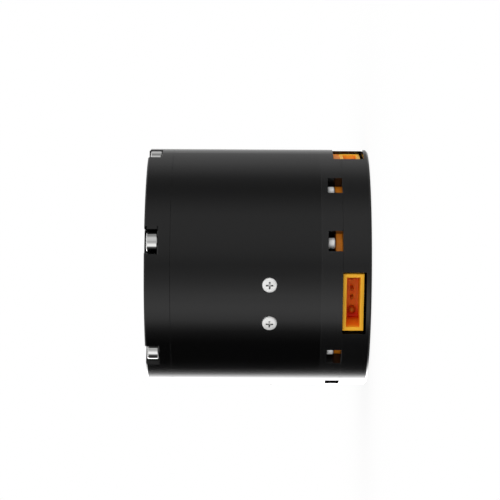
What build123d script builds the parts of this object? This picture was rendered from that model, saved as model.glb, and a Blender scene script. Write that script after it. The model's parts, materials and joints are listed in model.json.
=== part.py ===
from build123d import *
import os
from math import atan, cos, hypot, pi, radians, sin, sqrt, tan

# Robot joint actuator: a brushless motor, a planetary gear set and a driver board in one round body.
# Millimetres. The turning axis is +Z with the output on top, and z = 0 is the outside of the rear
# cover. Places round the body are angles from the middle of the lower plug socket, which faces -Y,
# counted anticlockwise as seen from the output.

# Shells
front_ring_wall = 6.5
front_lip = 1.0
housing_wall = 3.9
rim_thickness = 2.9
end_plate_flange = 1.5
end_plate_web = 3.0
cover_wall = 1.6
cover_floor = 1.15
front_chamfer = 0.3
rear_chamfer = 0.4
seam_chamfer = 0.05

# Clearances
seat_gap = 0.02
journal_gap = 0.04
running_gap = 0.3
insert_gap = 0.15

# Planetary gear set
gear_module = 0.5
pressure_angle = 25.0
sun_teeth = 12
planet_teeth = 30
planet_count = 3
gear_width = 6.0
tooth_thinning = 0.07
ring_gear_wall = 3.375
ring_gear_overlap = 0.5
ring_dowel_diameter = 2.0
ring_dowel_angles = [0, 120, 240]
planet_pin_diameter = 3.0
planet_pin_seat = 3.0
planet_bush_wall = 0.8
carrier_plate_thickness = 2.6
carrier_post_diameter = 4.0
carrier_screw_diameter = 2.0
carrier_screw_head_diameter = 3.6
carrier_screw_head_height = 1.6
carrier_screw_seat = 3.4

# Bearings
output_bearing_section = 4.5
output_bearing_width = 5.0
carrier_bearing_section = 3.5
carrier_bearing_width = 4.0
carrier_hub_wall = 4.0
rotor_bearing_bore = 8.0
front_rotor_bearing_section = 2.0
front_rotor_bearing_width = 3.5
rear_rotor_bearing_section = 4.0
rear_rotor_bearing_width = 5.0
bearing_race_share = 0.33
bearing_lip = 1.1
lip_thickness = 1.0
bearing_hub_wall = 2.2

# Output flange
flange_land = 2.0
flange_proud = 0.4
flange_chamfer = 0.35
race_shoulder = 1.3
shoulder_height = 0.2
output_hole_inset = 2.5
output_hole_count = 6
output_hole_depth = 5.0
dowel_hole_diameter = 3.0
dowel_hole_depth = 3.0
pilot_diameter = 12.0
pilot_depth = 2.5

# Notches in the front ring and the cap screws in them
front_screw_angles = [30, 90, 150, 210, 270, 330]
front_screw_inset = 2.0
notch_depth = 3.05
notch_width = 5.6
notch_mouth = 7.0
notch_flare = 1.0
notch_chamfer = 0.25
cap_screw_diameter = 2.5
cap_head_diameter = 4.5
cap_head_height = 2.5
cap_screw_length = 8.0

# Tapped holes in the front face, between the notches
housing_hole_angles = [0, 60, 120, 180, 240, 300]
housing_hole_inset = 3.5
housing_hole_depth = 5.0
tapped_hole_diameter = 2.5

# Motor
stator_bore = 28.0
stator_length = 12.0
slot_count = 12
stator_yoke = 3.0
tooth_width = 3.4
tooth_shoe_height = 1.2
shoe_gap = 1.6
coil_overhang = 2.4
coil_shoulder = 0.8
coil_taper = 0.18
coil_rear_room = 2.25
coil_front_room = 0.55
air_gap = 0.6
magnet_count = 14
magnet_thickness = 2.2
magnet_share = 0.88
core_rim = 2.4
core_hub_wall = 2.2
core_web_share = 0.3
sun_shank_diameter = 4.4
sun_shank_length = 7.0
encoder_magnet_diameter = 5.0
encoder_magnet_length = 2.0
encoder_magnet_proud = 0.5
lead_diameter = 1.2
lead_inset = 6.0
lead_angles = [200, 225, 250]
lead_proud = 0.5

# Screws through the side of the housing into the stator
stator_screw_angles = [-9.3, 9.3, 170.7, 189.3, 260.7, 279.3]
pan_screw_diameter = 2.0
pan_head_diameter = 3.6
pan_head_height = 1.3
spot_face_depth = 0.1
stator_screw_bite = 1.3

# Windows in the end plate's rim and the screws in them
window_angles = [30, 60, 150, 180, 210, 270, 300, 330]
window_width = 4.8
small_screw_diameter = 1.6
small_head_diameter = 2.6
small_head_height = 1.6
small_screw_length = 5.0
small_screw_inset = 2.5

# Driver board
board_thickness = 1.6
board_gap = 0.2
board_head_gap = 0.2
board_screw_angles = [50, 170, 290]
board_screw_inset = 8.4
board_boss_diameter = 4.2
board_screw_head_height = 1.3
board_screw_bite = 1.5
chip_height = 0.9
encoder_chip_size = 4.0
controller_chip_size = 7.0
transistor_width = 6.0
transistor_length = 5.0
transistor_circle = 24.0
transistor_count = 6
can_diameter = 5.0
can_height = 4.6
can_circle = 22.0
can_angles = [150, 185, 220]
ceramic_length = 3.2
ceramic_width = 1.6
ceramic_circle = 19.0
ceramic_angles = [250, 275, 300, 325, 350, 15, 40, 65]

# Plug sockets
lower_socket_angle = 0.0
upper_socket_angle = 97.5
socket_width = 13.9
socket_height = 4.95
socket_depth = 11.0
socket_inset = 1.7
socket_wall = 0.9
recess_depth = 8.0
pocket_side_gap = 0.6
pocket_rear_gap = 0.5
power_pin_diameter = 1.8
power_pin_spacing = 8.4
signal_pin_diameter = 0.8
signal_pin_spacing = 2.2
pin_reach = 6.2
leg_setback = 1.1

# Rear cover screws
cover_screw_angles = [45, 135, 225, 315]
cover_boss_inset = 5.1
cover_boss_diameter = 4.4
cover_screw_length = 8.4
flat_head_diameter = 3.8
flat_head_rim = 0.15

# Radii that follow from the gear set outwards
ring_teeth = sun_teeth + 2 * planet_teeth
sun_pitch = gear_module * sun_teeth / 2
planet_pitch = gear_module * planet_teeth / 2
ring_pitch = gear_module * ring_teeth / 2
planet_orbit = sun_pitch + planet_pitch
addendum = gear_module
dedendum = 1.25 * gear_module
ring_tip = ring_pitch - addendum
ring_gear_radius = ring_pitch + dedendum + ring_gear_wall
carrier_radius = ring_tip - 2 * running_gap
planet_pin_radius = planet_pin_diameter / 2
planet_bore = planet_pin_radius + journal_gap + planet_bush_wall + seat_gap
planet_angles = [360 * k / planet_count for k in range(planet_count)]
post_angles = [angle + 180 / planet_count for angle in planet_angles]
output_bearing_outside = 2 * ring_gear_radius
output_bearing_bore = output_bearing_outside - 2 * output_bearing_section
flange_radius = output_bearing_outside / 2 - flange_land
output_hole_radius = output_bearing_bore / 2 - output_hole_inset
body_radius = output_bearing_outside / 2 + front_ring_wall
housing_hole_radius = body_radius - housing_hole_inset
front_screw_radius = body_radius - front_screw_inset
small_screw_radius = body_radius - small_screw_inset
cover_screw_radius = body_radius - cover_boss_inset
rim_inside = body_radius - rim_thickness
board_radius = rim_inside - board_gap
board_screw_radius = board_radius - board_screw_inset

# Motor and bearing radii
stator_seat = body_radius - housing_wall
stator_radius = stator_seat - seat_gap
lead_radius = stator_seat - lead_inset
rotor_radius = stator_bore / 2 - air_gap
core_radius = rotor_radius - magnet_thickness
shaft_radius = rotor_bearing_bore / 2 - seat_gap
front_rotor_bearing_outside = rotor_bearing_bore + 2 * front_rotor_bearing_section
rear_rotor_bearing_outside = rotor_bearing_bore + 2 * rear_rotor_bearing_section
carrier_bearing_bore = front_rotor_bearing_outside + 2 * carrier_hub_wall
carrier_bearing_outside = carrier_bearing_bore + 2 * carrier_bearing_section

# Levels along the axis, stacked up from the rear
pocket_bottom = cover_floor
socket_bottom = pocket_bottom + pocket_rear_gap
socket_middle = socket_bottom + socket_height / 2
cover_top = socket_bottom + socket_height
board_top = cover_top + board_thickness
window_top = board_top + board_head_gap + small_head_height
plate_top = window_top + end_plate_flange
web_bottom = window_top - insert_gap
web_surface = web_bottom + end_plate_web
rear_bearing_bottom = web_bottom + lip_thickness
rear_bearing_top = rear_bearing_bottom + rear_rotor_bearing_width
coil_bottom = web_surface + coil_rear_room
stator_bottom = coil_bottom + coil_overhang
stator_middle = stator_bottom + stator_length / 2
stator_top = stator_bottom + stator_length
coil_top = stator_top + coil_overhang
web_floor = coil_top + coil_front_room
carrier_bearing_bottom = web_floor + lip_thickness
front_bearing_bottom = carrier_bearing_bottom + insert_gap
front_bearing_top = front_bearing_bottom + front_rotor_bearing_width
carrier_bottom = carrier_bearing_bottom + carrier_bearing_width
web_top = carrier_bottom - running_gap
carrier_top = carrier_bottom + carrier_plate_thickness
gear_bottom = carrier_top + running_gap
ring_gear_bottom = gear_bottom - ring_gear_overlap
gear_top = gear_bottom + gear_width
flange_bottom = gear_top + running_gap
housing_top = flange_bottom - insert_gap
lip_bottom = housing_top + output_bearing_width
body_length = lip_bottom + front_lip
notch_floor = body_length - notch_depth
flange_top = body_length + flange_proud
magnet_bottom = board_top + chip_height + running_gap
shaft_bottom = magnet_bottom + encoder_magnet_proud
shaft_top = front_bearing_top + running_gap

# Plug sockets, along their own direction
socket_mouth = body_radius - socket_inset
socket_back = socket_mouth - socket_depth
pocket_width = socket_width + 2 * pocket_side_gap
pocket_root = sqrt(rim_inside ** 2 - (pocket_width / 2) ** 2)
leg_place = socket_back - leg_setback


def turned(outline):
    """Turn a closed outline of (radius, level) points about the axis."""
    points = [(radius, 0, level) for radius, level in outline]
    return revolve(make_face(Polyline(*points, close=True)), Axis.Z)


def rod(radius, low, high):
    """A round bar along the axis between two levels."""
    return Pos(0, 0, (low + high) / 2) * Cylinder(radius, high - low)


def spoke(radius, inner, outer, level):
    """A round bar that points outwards along +X."""
    return Pos((inner + outer) / 2, 0, level) * Rot(0, 90, 0) * Cylinder(radius, outer - inner)


def block(inner, outer, width, low, high):
    """A box from one radius to another along +X, centred across, between two levels."""
    size = Box(outer - inner, width, high - low)
    return Pos((inner + outer) / 2, 0, (low + high) / 2) * size


def at(shape, angle):
    """Turn a shape that was made on +X to its angle from the lower socket."""
    return Rot(0, 0, angle - 90) * shape


def around(shape, angles):
    """Copies of a shape made on +X, one at each angle."""
    return [at(shape, angle) for angle in angles]


def ring(inner, outer, low, high):
    """A plain ring."""
    return rod(outer, low, high) - rod(inner, low, high)


def save(name, *shapes):
    """Write a sub-part, as one group where it has several solids."""
    solids = [solid for shape in shapes for solid in shape.solids()]
    export_step(Compound(children=solids), f"parts/{name}.step")


# Gear teeth

def involute_angle(base_radius, radius):
    """Angle that an involute has turned through when it reaches a radius."""
    roll = sqrt((radius / base_radius) ** 2 - 1)
    return roll - atan(roll)


def gear_outline(teeth, inner, outer, thickening):
    """Outline of a gear with a tooth on +X, between two radii. Flanks are involutes as arcs."""
    pitch = gear_module * teeth / 2
    base = pitch * cos(radians(pressure_angle))
    half_tooth = pi / (2 * teeth) + thickening / (2 * pitch) + involute_angle(base, pitch)
    flank_start = max(inner, base)

    def flank_point(radius, side, middle):
        turn = middle + side * (half_tooth - involute_angle(base, radius))
        return Vector(radius * cos(turn), radius * sin(turn))

    def straight_point(radius, side, middle):
        turn = middle + side * half_tooth
        return Vector(radius * cos(turn), radius * sin(turn))

    edges = []
    for tooth in range(teeth):
        middle = 2 * pi * tooth / teeth
        gap = middle + pi / teeth
        following = middle + 2 * pi / teeth
        half_way = (flank_start + outer) / 2
        rise = [flank_point(radius, -1, middle) for radius in (flank_start, half_way, outer)]
        fall = [flank_point(radius, 1, middle) for radius in (outer, half_way, flank_start)]
        tip = Vector(outer * cos(middle), outer * sin(middle))
        floor = Vector(inner * cos(gap), inner * sin(gap))
        foot = fall[2]
        next_foot = flank_point(flank_start, -1, following)
        edges.append(Edge.make_three_point_arc(*rise))
        edges.append(Edge.make_three_point_arc(rise[2], tip, fall[0]))
        edges.append(Edge.make_three_point_arc(*fall))
        if inner < base:
            root_foot = straight_point(inner, 1, middle)
            next_root_foot = straight_point(inner, -1, following)
            edges.append(Edge.make_line(foot, root_foot))
            edges.append(Edge.make_three_point_arc(root_foot, floor, next_root_foot))
            edges.append(Edge.make_line(next_root_foot, next_foot))
        else:
            edges.append(Edge.make_three_point_arc(foot, floor, next_foot))
    return Face(Wire(edges))


def external_gear(teeth, low, high):
    """A spur gear with a tooth on +X."""
    pitch = gear_module * teeth / 2
    outline = gear_outline(teeth, pitch - dedendum, pitch + addendum, -tooth_thinning)
    return Pos(0, 0, low) * extrude(outline, high - low)


# Fasteners, made standing on their seat at level 0 with the head above it

def cross_recess(diameter, top):
    """The cross-shaped driver recess of a screw head."""
    arm = Box(diameter * 0.5, diameter * 0.14, diameter * 0.3)
    return Pos(0, 0, top) * (arm + Rot(0, 0, 90) * arm)


def cap_screw(diameter, head_diameter, head_height, length):
    """Socket cap screw with a chamfered head and a hexagon socket."""
    head = head_diameter / 2
    bevel = head * 0.1
    shank = diameter / 2
    body = turned([(0, -length), (shank, -length), (shank, 0), (head, 0), (head, head_height - bevel),
                   (head - bevel, head_height), (0, head_height)])
    hexagon = extrude(RegularPolygon(diameter * 0.46, 6), head_height * 0.55)
    return body - Pos(0, 0, head_height * 0.45) * hexagon


def pan_screw(diameter, head_diameter, head_height, length):
    """Domed screw with a cross recess."""
    head = head_diameter / 2
    edge = head_height * 0.45
    shank = diameter / 2
    sides = Polyline((0, 0, head_height), (0, 0, -length), (shank, 0, -length), (shank, 0, 0),
                     (head, 0, 0), (head, 0, edge))
    dome = ThreePointArc((head, 0, edge), (head * 0.72, 0, head_height * 0.88), (0, 0, head_height))
    return revolve(make_face(sides + dome), Axis.Z) - cross_recess(head_diameter, head_height)


def countersunk(diameter, head_diameter, length):
    """Outline of a countersunk screw with its head below level 0, also used to cut its hole."""
    head = head_diameter / 2
    shank = diameter / 2
    rim = flat_head_rim
    return turned([(0, -length), (shank, -length), (shank, shank - head - rim), (head, -rim),
                   (head, 0), (0, 0)])


def flat_screw(diameter, head_diameter, length):
    """Countersunk screw with a hexagon socket."""
    hexagon = extrude(RegularPolygon(diameter * 0.36, 6), diameter)
    return countersunk(diameter, head_diameter, length) - Pos(0, 0, -diameter * 0.4) * hexagon


def bearing_races(bore, outside, width, low):
    """Outer race with its shields, and inner race, of a sealed ball bearing."""
    section = (outside - bore) / 2
    race = section * bearing_race_share
    inner_radius = bore / 2
    outer_radius = outside / 2 - seat_gap
    shield = inner_radius + race + journal_gap
    sunk = width * 0.06
    high = low + width
    outer = turned([(outer_radius, low), (outer_radius, high), (outer_radius - race, high),
                    (outer_radius - race, high - sunk), (shield, high - sunk), (shield, low + sunk),
                    (outer_radius - race, low + sunk), (outer_radius - race, low)])
    return outer, ring(inner_radius, inner_radius + race, low, high)


# Housing

def front_ring():
    """Ring at the output end: bearing seat, notches for the cap screws and tapped mounting holes."""
    seat = output_bearing_outside / 2
    lip = flange_radius + running_gap
    blank = turned([(seat, housing_top), (body_radius - seam_chamfer, housing_top),
                    (body_radius, housing_top + seam_chamfer),
                    (body_radius, body_length - front_chamfer),
                    (body_radius - front_chamfer, body_length), (lip, body_length),
                    (lip, lip_bottom), (seat, lip_bottom)])
    mill = Pos(front_screw_radius, 0, 0) * rod(notch_width / 2, notch_floor, body_length + 1)
    slot = block(front_screw_radius, body_radius + 1, notch_width, notch_floor, body_length + 1)
    screw_hole = Pos(front_screw_radius, 0, 0) * rod(cap_screw_diameter / 2 + seat_gap,
                                                     housing_top - 1, notch_floor + 1)
    tapped = Pos(housing_hole_radius, 0, 0) * rod(tapped_hole_diameter / 2,
                                                      body_length - housing_hole_depth,
                                                      body_length + 1)
    notched = blank - around(mill + slot + notch_mouth_cutter(), front_screw_angles)
    floors = [edge for edge in surface_edges(notched)
              if abs(edge.center().Z - notch_floor) < 0.001]
    eased = chamfer(floors, notch_chamfer)
    return eased - around(screw_hole, front_screw_angles) - around(tapped, housing_hole_angles)


def notch_mouth_cutter():
    """Wedge that flares a notch towards the body's round surface."""
    half = notch_width / 2
    flared = notch_mouth - half
    outline = Polyline((body_radius - notch_flare, -half), (body_radius + notch_flare, -flared),
                       (body_radius + notch_flare, flared), (body_radius - notch_flare, half),
                       close=True)
    return Pos(0, 0, notch_floor) * extrude(make_face(outline), notch_depth + 1)


def surface_edges(piece):
    """Edges that lie wholly on the body's round surface."""
    return [edge for edge in piece.edges()
            if all(abs(hypot(point.X, point.Y) - body_radius) < 0.001
                   for point in (edge.position_at(share) for share in (0, 0.5, 1)))]


def front_cap_screws():
    """The cap screws that hold the front ring to the main housing."""
    screw = cap_screw(cap_screw_diameter, cap_head_diameter, cap_head_height, cap_screw_length)
    return around(Pos(front_screw_radius, 0, notch_floor) * screw, front_screw_angles)


def main_housing():
    """Long shell with the motor's bore, the web between motor and gears, and the ring gear's seat."""
    bore = stator_seat
    seat = carrier_bearing_outside / 2
    shoulder = (carrier_radius + ring_gear_radius) / 2
    gear_seat = ring_gear_radius + seat_gap
    blank = turned([(bore, plate_top), (body_radius, plate_top),
                    (body_radius, housing_top - seam_chamfer),
                    (body_radius - seam_chamfer, housing_top), (gear_seat, housing_top),
                    (gear_seat, ring_gear_bottom), (shoulder, ring_gear_bottom), (shoulder, web_top),
                    (seat, web_top), (seat, carrier_bearing_bottom),
                    (seat - bearing_lip, carrier_bearing_bottom), (seat - bearing_lip, web_floor),
                    (bore, web_floor)])
    cap_hole = rod(cap_screw_diameter / 2 + seat_gap, notch_floor - cap_screw_length - 0.5,
                   housing_top + 1)
    small_hole = rod(small_screw_diameter / 2 + seat_gap, plate_top - 1,
                     window_top + small_screw_length + 0.5)
    side_hole = spoke(pan_screw_diameter / 2 + seat_gap, bore - 1, body_radius + 1, stator_middle)
    side_seat = spoke(pan_head_diameter / 2 + insert_gap, body_radius - spot_face_depth,
                      body_radius + 1, stator_middle)
    dowel = Pos(ring_gear_radius, 0, 0) * rod(ring_dowel_diameter / 2 + seat_gap, ring_gear_bottom,
                                              housing_top + 1)
    return (blank - around(Pos(front_screw_radius, 0, 0) * cap_hole, front_screw_angles)
            - around(Pos(small_screw_radius, 0, 0) * small_hole, window_angles)
            - around(side_hole, stator_screw_angles) - around(side_seat, stator_screw_angles)
            - around(dowel, ring_dowel_angles))


def stator_screws():
    """Cross-recess screws through the housing's side that lock the stator."""
    seat = body_radius - spot_face_depth
    length = seat - stator_radius + stator_screw_bite
    screw = pan_screw(pan_screw_diameter, pan_head_diameter, pan_head_height, length)
    return around(Pos(seat, 0, stator_middle) * Rot(0, 90, 0) * screw, stator_screw_angles)


def motor_end_plate():
    """Plate behind the motor: rim with windows, rear bearing hub, bosses for board and cover."""
    spigot = stator_radius
    seat = rear_rotor_bearing_outside / 2
    hub = seat + bearing_hub_wall
    blank = turned([(rim_inside, cover_top), (body_radius - seam_chamfer, cover_top),
                    (body_radius, cover_top + seam_chamfer), (body_radius, plate_top),
                    (spigot, plate_top), (spigot, web_surface), (hub, web_surface),
                    (hub, rear_bearing_top), (seat, rear_bearing_top), (seat, rear_bearing_bottom),
                    (seat - bearing_lip, rear_bearing_bottom), (seat - bearing_lip, web_bottom),
                    (rim_inside, web_bottom)])
    board_boss = Pos(board_screw_radius, 0, 0) * rod(board_boss_diameter / 2, board_top,
                                                         web_bottom + 1)
    cover_boss = Pos(cover_screw_radius, 0, 0) * rod(cover_boss_diameter / 2, cover_top,
                                                     web_bottom + 1)
    filling = block(cover_screw_radius, rim_inside + 0.5, cover_boss_diameter, cover_top,
                    web_bottom + 1)
    solid = (blank + around(board_boss, board_screw_angles)
             + around(cover_boss + filling, cover_screw_angles))
    window = block(board_radius - 1, body_radius + 1, window_width, cover_top - 1, window_top)
    screw_hole = Pos(small_screw_radius, 0, 0) * rod(small_screw_diameter / 2 + seat_gap,
                                                     window_top - 1, web_surface + 1)
    board_hole = Pos(board_screw_radius, 0, 0) * rod(pan_screw_diameter / 2 + seat_gap,
                                                         board_top - 1, board_top + board_screw_bite)
    cover_hole = Pos(cover_screw_radius, 0, 0) * rod(pan_screw_diameter / 2 + seat_gap, cover_top - 1,
                                                     cover_screw_length + 0.5)
    lead_hole = Pos(lead_radius, 0, 0) * rod(lead_diameter, web_bottom - 1, web_surface + 1)
    relief = block(pocket_root, body_radius + 1, pocket_width, cover_top - 1,
                   board_top + board_gap)
    return (solid - around(window, window_angles) - around(screw_hole, window_angles)
            - around(board_hole, board_screw_angles) - around(cover_hole, cover_screw_angles)
            - around(lead_hole, lead_angles) - at(relief, upper_socket_angle))


def end_plate_screws():
    """Small cap screws, seen in the windows, that hold the end plate to the main housing."""
    screw = cap_screw(small_screw_diameter, small_head_diameter, small_head_height,
                      small_screw_length)
    return around(Pos(small_screw_radius, 0, window_top) * Rot(180, 0, 0) * screw, window_angles)


def rear_cover():
    """Cup over the electronics with a pocket round each plug socket."""
    inside = body_radius - cover_wall
    blank = turned([(0, 0), (body_radius - rear_chamfer, 0), (body_radius, rear_chamfer),
                    (body_radius, cover_top - seam_chamfer),
                    (body_radius - seam_chamfer, cover_top), (inside, cover_top),
                    (inside, cover_floor), (0, cover_floor)])
    boss = Pos(cover_screw_radius, 0, 0) * rod(cover_boss_diameter / 2, cover_floor / 2, cover_top)
    filling = block(cover_screw_radius, inside + 0.5, cover_boss_diameter, cover_floor / 2,
                    cover_top)
    screw = countersunk(pan_screw_diameter + 2 * seat_gap, flat_head_diameter + 2 * seat_gap,
                        cover_screw_length)
    hole = Pos(cover_screw_radius, 0, 0) * Rot(180, 0, 0) * screw
    pocket = block(socket_back - insert_gap, body_radius + 1, pocket_width, pocket_bottom,
                   cover_top + 1)
    return (blank + around(boss + filling, cover_screw_angles) - around(hole, cover_screw_angles)
            - around(pocket, [lower_socket_angle, upper_socket_angle]))


def rear_cover_screws():
    """Countersunk screws through the rear cover into the end plate."""
    screw = flat_screw(pan_screw_diameter, flat_head_diameter, cover_screw_length)
    return around(Pos(cover_screw_radius, 0, 0) * Rot(180, 0, 0) * screw, cover_screw_angles)


# Motor

def stator_core():
    """Laminated stator with twelve shoed teeth and blind holes for the side screws."""
    outside = stator_radius
    yoke = outside - stator_yoke
    bore = stator_bore / 2
    shoe = bore + tooth_shoe_height
    tooth = block(shoe - 0.3, yoke + 0.5, tooth_width, stator_bottom, stator_top)
    gap = block(bore - 1, shoe + 1, shoe_gap, stator_bottom - 1, stator_top + 1)
    shoes = ring(bore, shoe, stator_bottom, stator_top)
    slots = [angle + 180 / slot_count for angle in tooth_angles()]
    bite = spoke(pan_screw_diameter / 2 + seat_gap, outside - stator_screw_bite - 0.2, outside + 1,
                 stator_middle)
    core = ring(yoke, outside, stator_bottom, stator_top) + around(tooth, tooth_angles())
    return (core + (shoes - around(gap, slots))) - around(bite, stator_screw_angles)


def tooth_angles():
    """Where the stator's teeth point."""
    return [360 * k / slot_count for k in range(slot_count)]


def stator_coils():
    """A wound coil on each stator tooth, with its end turns standing past the core."""
    inner = stator_bore / 2 + tooth_shoe_height + insert_gap
    yoke = stator_radius - stator_yoke - insert_gap
    half_inner = inner * tan(radians(180 / slot_count)) - insert_gap
    half_outer = half_inner + coil_taper * (yoke - inner)
    outer = sqrt(yoke ** 2 - half_outer ** 2)
    outline = Polyline((inner, -half_inner), (outer, -half_outer), (outer, half_outer),
                       (inner, half_inner), close=True)
    winding = Pos(0, 0, coil_bottom) * extrude(make_face(outline), coil_top - coil_bottom)
    ends = [edge for edge in winding.edges()
            if abs(edge.tangent_at(0.5).X) > abs(edge.tangent_at(0.5).Y) + abs(edge.tangent_at(0.5).Z)]
    rounded = fillet(ends, coil_shoulder)
    window = block(inner - 1, outer + 1, tooth_width + 2 * insert_gap, stator_bottom - insert_gap,
                   stator_top + insert_gap)
    return around(rounded - window, tooth_angles())


def phase_leads():
    """Three stiff leads from the coils through the end plate to the board."""
    lead = Pos(lead_radius, 0, 0) * rod(lead_diameter / 2, cover_top - lead_proud, coil_bottom)
    return around(lead, lead_angles)


def rotor_shaft():
    """Shaft with a socket for the sun gear at the front and for the encoder magnet at the rear."""
    shaft = rod(shaft_radius, shaft_bottom, shaft_top)
    sun_bore = rod(sun_shank_diameter / 2 + seat_gap, gear_bottom - sun_shank_length, shaft_top + 1)
    magnet_top = magnet_bottom + encoder_magnet_length
    magnet_bore = rod(encoder_magnet_diameter / 2 + seat_gap, shaft_bottom - 1, magnet_top)
    return shaft - sun_bore - magnet_bore


def rotor_core():
    """Back iron that carries the magnets, dished to save weight."""
    hub = shaft_radius + core_hub_wall
    rim = core_radius - core_rim
    web = stator_length * core_web_share
    shaft_hole = shaft_radius + seat_gap
    return turned([(shaft_hole, stator_bottom), (hub, stator_bottom), (hub, stator_middle - web / 2),
                   (rim, stator_middle - web / 2), (rim, stator_bottom), (core_radius, stator_bottom),
                   (core_radius, stator_top), (rim, stator_top), (rim, stator_middle + web / 2),
                   (hub, stator_middle + web / 2), (hub, stator_top), (shaft_hole, stator_top)])


def rotor_magnets():
    """Arc magnets round the rotor core."""
    tile = ring(core_radius + seat_gap, rotor_radius, stator_bottom, stator_top)
    half_angle = 180 / magnet_count * magnet_share
    reach = rotor_radius * 2
    wedge = make_face(Polyline((0, 0), (reach, -reach * tan(radians(half_angle))),
                               (reach, reach * tan(radians(half_angle))), close=True))
    magnet = tile & Pos(0, 0, stator_bottom) * extrude(wedge, stator_length)
    return around(magnet, [360 * k / magnet_count for k in range(magnet_count)])


def encoder_magnet():
    """Round magnet in the shaft's rear end, over the encoder chip."""
    return rod(encoder_magnet_diameter / 2, magnet_bottom, magnet_bottom + encoder_magnet_length)


# Gear set

def ring_gear():
    """Internal gear, held in the housing by dowels half in each."""
    outline = gear_outline(ring_teeth, ring_tip, ring_pitch + dedendum, tooth_thinning)
    teeth = Pos(0, 0, ring_gear_bottom - 1) * extrude(outline, housing_top - ring_gear_bottom + 2)
    dowel = Pos(ring_gear_radius, 0, 0) * rod(ring_dowel_diameter / 2 + seat_gap,
                                              ring_gear_bottom - 1, housing_top + 1)
    return (rod(ring_gear_radius, ring_gear_bottom, housing_top) - teeth
            - around(dowel, ring_dowel_angles))


def ring_gear_dowels():
    """Dowels that stop the ring gear from turning."""
    dowel = rod(ring_dowel_diameter / 2, ring_gear_bottom, housing_top - insert_gap)
    return around(Pos(ring_gear_radius, 0, 0) * dowel, ring_dowel_angles)


def sun_gear():
    """Pinion with a shank that is pressed into the rotor shaft."""
    pinion = Rot(0, 0, 180 / sun_teeth) * external_gear(sun_teeth, gear_bottom, gear_top)
    shank = rod(sun_shank_diameter / 2, gear_bottom - sun_shank_length, gear_bottom)
    return pinion + shank


def planet_gear(angle):
    """One planet, with a tooth towards the ring gear and one towards the sun."""
    gear = external_gear(planet_teeth, gear_bottom, gear_top)
    bored = gear - rod(planet_bore, gear_bottom - 1, gear_top + 1)
    return Rot(0, 0, angle) * Pos(planet_orbit, 0, 0) * bored


def planet_bush(angle):
    """Bronze bush in a planet."""
    bush = ring(planet_pin_radius + journal_gap, planet_bore - seat_gap, gear_bottom, gear_top)
    return Rot(0, 0, angle) * Pos(planet_orbit, 0, 0) * bush


def planet_pins():
    """Pins that carry the planets, held in the output flange and the carrier plate."""
    pin = rod(planet_pin_radius, carrier_bottom + insert_gap, flange_bottom + planet_pin_seat)
    return [Rot(0, 0, angle) * Pos(planet_orbit, 0, 0) * pin for angle in planet_angles]


def output_flange():
    """Output disc and the front half of the planet carrier."""
    hub = output_bearing_bore / 2 - seat_gap
    race_top = lip_bottom
    disc = flange_radius
    disc_bottom = race_top + shoulder_height
    pilot = pilot_diameter / 2
    pilot_floor = flange_top - pilot_depth
    blank = turned([(0, flange_bottom), (hub, flange_bottom), (hub, race_top),
                    (hub + race_shoulder, race_top), (hub + race_shoulder, disc_bottom),
                    (disc, disc_bottom), (disc, flange_top - flange_chamfer),
                    (disc - flange_chamfer, flange_top), (pilot, flange_top), (pilot, pilot_floor),
                    (0, pilot_floor)])
    bolt_hole = Pos(output_hole_radius, 0, 0) * rod(tapped_hole_diameter / 2,
                                                        flange_top - output_hole_depth,
                                                        flange_top + 1)
    bolt_angles = [360 * k / output_hole_count for k in range(output_hole_count)]
    dowel_hole = Pos(output_hole_radius, 0, 0) * rod(dowel_hole_diameter / 2,
                                                         flange_top - dowel_hole_depth,
                                                         flange_top + 1)
    dowel_angles = [180 / output_hole_count, 180 + 180 / output_hole_count]
    pin_hole = Pos(planet_orbit, 0, 0) * rod(planet_pin_radius + seat_gap, flange_bottom - 1,
                                             flange_bottom + planet_pin_seat)
    screw_hole = Pos(planet_orbit, 0, 0) * rod(carrier_screw_diameter / 2 + seat_gap,
                                               flange_bottom - 1, flange_bottom + carrier_screw_seat)
    pins = [Rot(0, 0, angle) * pin_hole for angle in planet_angles]
    screws = [Rot(0, 0, angle) * screw_hole for angle in post_angles]
    return blank - around(bolt_hole, bolt_angles) - around(dowel_hole, dowel_angles) - pins - screws


def carrier_plate():
    """Rear half of the planet carrier, with posts up to the output flange and a bearing hub."""
    hub = carrier_bearing_bore / 2 - seat_gap
    seat = front_rotor_bearing_outside / 2
    opening = shaft_radius + running_gap
    blank = turned([(seat, carrier_bearing_bottom), (hub, carrier_bearing_bottom), (hub, carrier_bottom),
                    (carrier_radius, carrier_bottom), (carrier_radius, carrier_top),
                    (opening, carrier_top), (opening, front_bearing_top),
                    (seat, front_bearing_top)])
    post = rod(carrier_post_diameter / 2, carrier_top - 1, flange_bottom)
    head_seat = rod(carrier_screw_head_diameter / 2 + insert_gap, carrier_bottom - 1,
                    carrier_bottom + carrier_screw_head_height)
    bolt = rod(carrier_screw_diameter / 2 + seat_gap, carrier_bottom - 1, flange_bottom + 1)
    pin_hole = rod(planet_pin_radius + seat_gap, carrier_bottom - 1, carrier_top + 1)
    posts = [Rot(0, 0, angle) * Pos(planet_orbit, 0, 0) * post for angle in post_angles]
    bolts = [Rot(0, 0, angle) * Pos(planet_orbit, 0, 0) * (head_seat + bolt)
             for angle in post_angles]
    pins = [Rot(0, 0, angle) * Pos(planet_orbit, 0, 0) * pin_hole for angle in planet_angles]
    return blank + posts - bolts - pins


def carrier_screws():
    """Cap screws through the posts that clamp the two halves of the carrier."""
    seat = carrier_bottom + carrier_screw_head_height
    length = flange_bottom + carrier_screw_seat - 0.4 - seat
    screw = Rot(180, 0, 0) * cap_screw(carrier_screw_diameter, carrier_screw_head_diameter,
                                       carrier_screw_head_height, length)
    return [Rot(0, 0, angle) * Pos(planet_orbit, 0, seat) * screw for angle in post_angles]


# Electronics

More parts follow.
